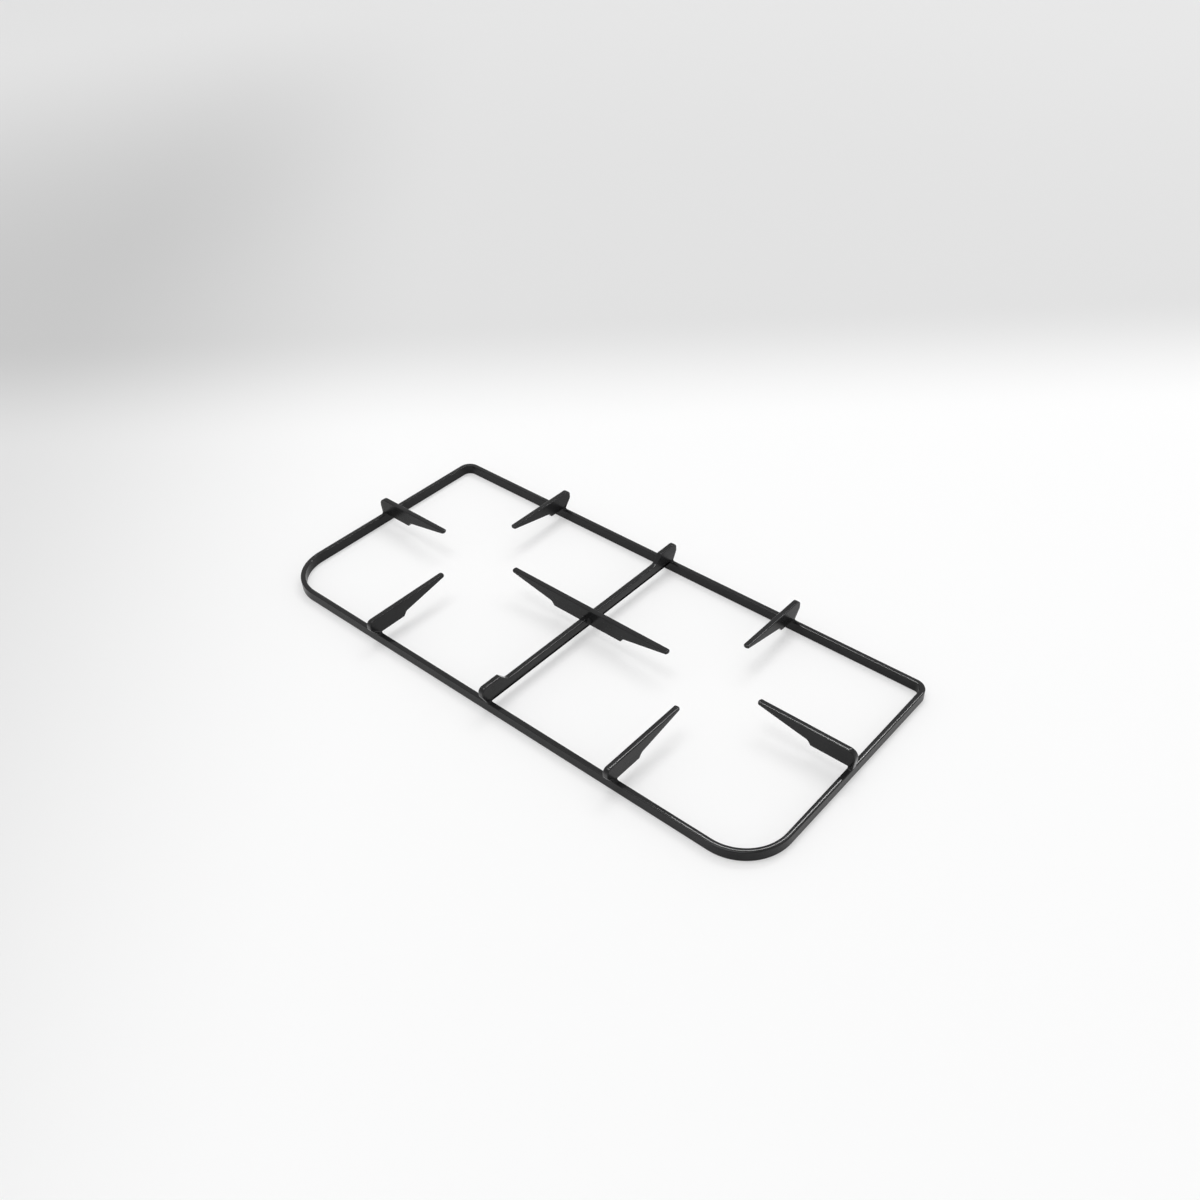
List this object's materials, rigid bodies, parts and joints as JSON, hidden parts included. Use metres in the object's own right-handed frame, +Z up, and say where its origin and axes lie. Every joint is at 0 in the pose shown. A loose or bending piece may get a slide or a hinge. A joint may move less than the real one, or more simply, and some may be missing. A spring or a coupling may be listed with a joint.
{
  "type": "hob pan support",
  "caption": "Gas hob pan support: a rounded rectangular ring of flat bar with upright tapered finger plates round each burner and a cross bar with raised ears, in black enamel.",
  "frame": {"origin": "on the hob, under the middle of the ring's box", "axes": "+X along the ring's long sides, +Y from the front, where the ring's corners are large, to the back, +Z up towards the pan"},
  "size_m": [0.4716, 0.225, 0.024],
  "materials": {
    "black_enamel": "glossy black vitreous enamel over steel"
  },
  "bodies": {
    "root": {"frame_ring": "black_enamel", "cross_bar": "black_enamel", "centre_finger": "black_enamel", "left_end_finger": "black_enamel", "right_end_finger": "black_enamel", "back_left_finger": "black_enamel", "back_right_finger": "black_enamel", "front_left_finger": "black_enamel", "front_right_finger": "black_enamel", "weld_beads": "black_enamel"}
  },
  "joints": []
}
